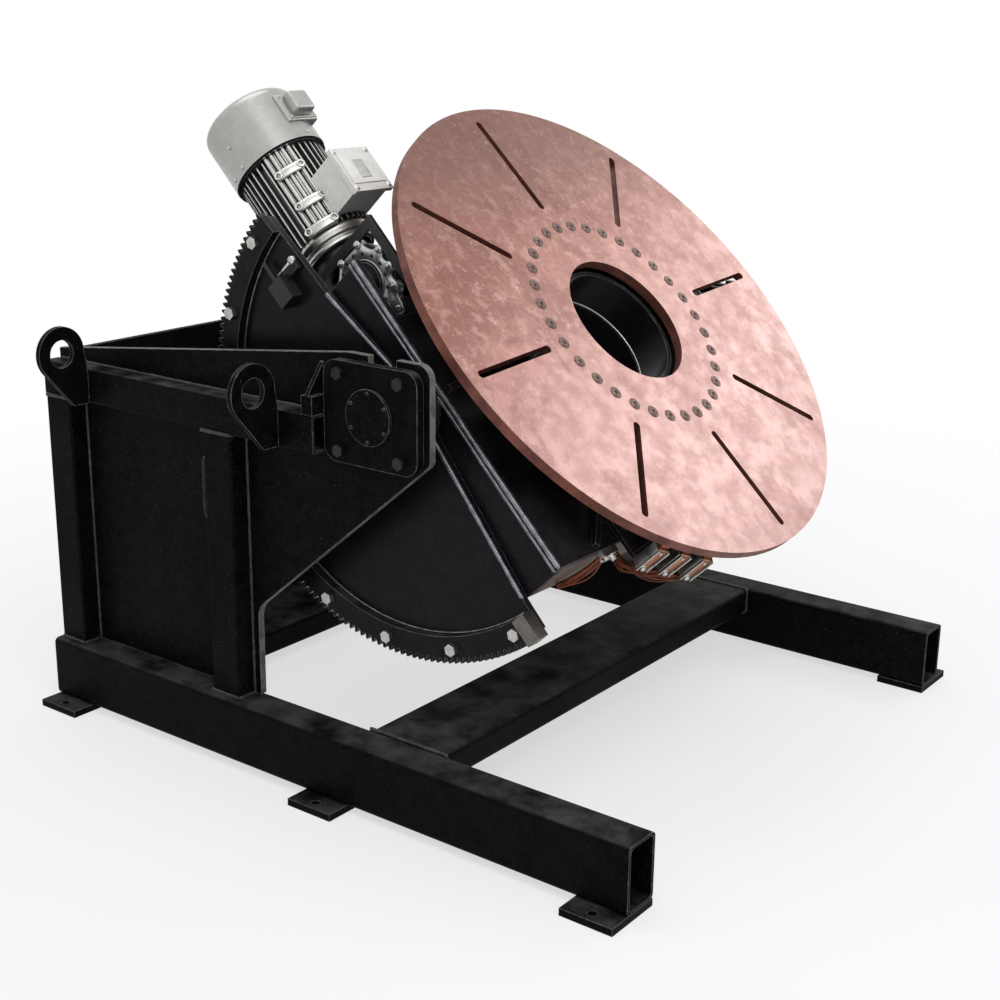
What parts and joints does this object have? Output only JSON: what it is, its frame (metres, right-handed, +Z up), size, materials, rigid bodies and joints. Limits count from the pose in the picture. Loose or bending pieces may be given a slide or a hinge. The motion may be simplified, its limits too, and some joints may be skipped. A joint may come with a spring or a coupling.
{
  "type": "welding positioner",
  "caption": "Floor-standing welding positioner: a geared tilting head carries a round slotted face table that rotates on a slewing ring, in a welded tube frame with lifting eyes.",
  "frame": {"origin": "centre of the frame's footprint, on the floor under the foot plates", "axes": "+Z up; the open front of the frame and the low side of the table face -Y; X runs along the tilt axis from the left (-X) to the right side"},
  "size_m": [2.066, 2.06, 1.8148],
  "materials": {
    "frame_paint": "satin",
    "head_paint": "gloss",
    "gear_steel": "satin",
    "zinc": "satin",
    "bearing_steel": "machined",
    "motor_grey": "satin",
    "reducer_aluminium": "cast",
    "gearbox_iron": "painted",
    "switch_plastic": "matte",
    "brass": "satin",
    "copper": "braided",
    "table_copper": "mottled"
  },
  "bodies": {
    "frame": {"skid_left": "frame_paint", "skid_right": "frame_paint", "foot_plates": "frame_paint", "cross_member_front": "frame_paint", "cross_member_rear": "frame_paint", "post_left_front": "frame_paint", "post_left_rear": "frame_paint", "rail_left": "frame_paint", "side_plate_left": "frame_paint", "bearing_plate_left": "frame_paint", "post_right_front": "frame_paint", "post_right_rear": "frame_paint", "rail_right": "frame_paint", "side_plate_right": "frame_paint", "bearing_plate_right": "frame_paint", "rear_wall": "frame_paint", "lifting_lugs": "frame_paint", "rail_gussets": "frame_paint", "bearing_bolts": "frame_paint", "bearing_caps": "frame_paint", "tilt_bearings": "bearing_steel", "shaft_bearings": "bearing_steel", "tilt_reducer": "gearbox_iron", "tilt_motor": "motor_grey", "tilt_bracket": "frame_paint"},
    "head": {"head_front_plate": "head_paint", "head_cross_plates": "head_paint", "head_fittings": "zinc", "head_side_left": "head_paint", "sector_plate_left": "head_paint", "gear_segment_left": "head_paint", "head_side_right": "head_paint", "sector_plate_right": "head_paint", "gear_segment_right": "head_paint", "segment_bolts": "zinc", "stop_blocks": "gear_steel", "trunnions": "bearing_steel", "pedestal": "head_paint", "through_tube": "head_paint", "slewing_inner_ring": "bearing_steel", "slewing_balls": "bearing_steel", "front_ribs": "head_paint", "rotation_gearbox": "gearbox_iron", "rotation_reducer": "reducer_aluminium", "rotation_motor": "motor_grey", "motor_cowl": "motor_grey", "terminal_box": "motor_grey", "limit_switch": "switch_plastic", "brush_bracket": "head_paint", "brush_holders": "brass", "earth_braids": "copper"},
    "table": {"slewing_gear": "bearing_steel", "table_plate": "table_copper", "table_screws": "zinc"},
    "tilt_drive_shaft": {"tilt_shaft": "bearing_steel", "tilt_pinions": "bearing_steel"},
    "slew_drive_pinion": {"slew_pinion": "bearing_steel"},
    "brush_1": {"earth_brush_1": "copper"},
    "brush_2": {"earth_brush_2": "copper"},
    "brush_3": {"earth_brush_3": "copper"}
  },
  "joints": [
    {"name": "tilt", "type": "hinge", "parent": "frame", "child": "head", "pos_m": [0, -0.192, 1.066], "axis": [1, 0, 0], "range_deg": [-46, 74]},
    {"name": "rotate_table", "type": "hinge", "parent": "head", "child": "table", "pos_m": [0, -0.3581, 1.18191], "axis": [0, -0.7193, 0.6947], "continuous": true},
    {"name": "tilt_shaft_turn", "type": "hinge", "parent": "frame", "child": "tilt_drive_shaft", "pos_m": [0, 0.35663, 0.59742], "axis": [1, 0, 0], "range_deg": [-893, 555]},
    {"name": "slew_pinion_turn", "type": "hinge", "parent": "head", "child": "slew_drive_pinion", "pos_m": [-0.3084, -0.08317, 1.39463], "axis": [0, -0.7193, 0.6947], "continuous": true},
    {"name": "brush_slide_1", "type": "slide", "parent": "head", "child": "brush_1", "axis": [0, -0.7193, 0.6947], "range_m": [-0.006, 0], "stiffness_N_per_m": 800, "springref_m": 0.01},
    {"name": "brush_slide_2", "type": "slide", "parent": "head", "child": "brush_2", "axis": [0, -0.7193, 0.6947], "range_m": [-0.006, 0], "stiffness_N_per_m": 800, "springref_m": 0.01},
    {"name": "brush_slide_3", "type": "slide", "parent": "head", "child": "brush_3", "axis": [0, -0.7193, 0.6947], "range_m": [-0.006, 0], "stiffness_N_per_m": 800, "springref_m": 0.01}
  ],
  "couplings": [
    {"joint": "tilt_shaft_turn", "follows": "tilt", "ratio": -12.059},
    {"joint": "slew_pinion_turn", "follows": "rotate_table", "ratio": -6}
  ]
}
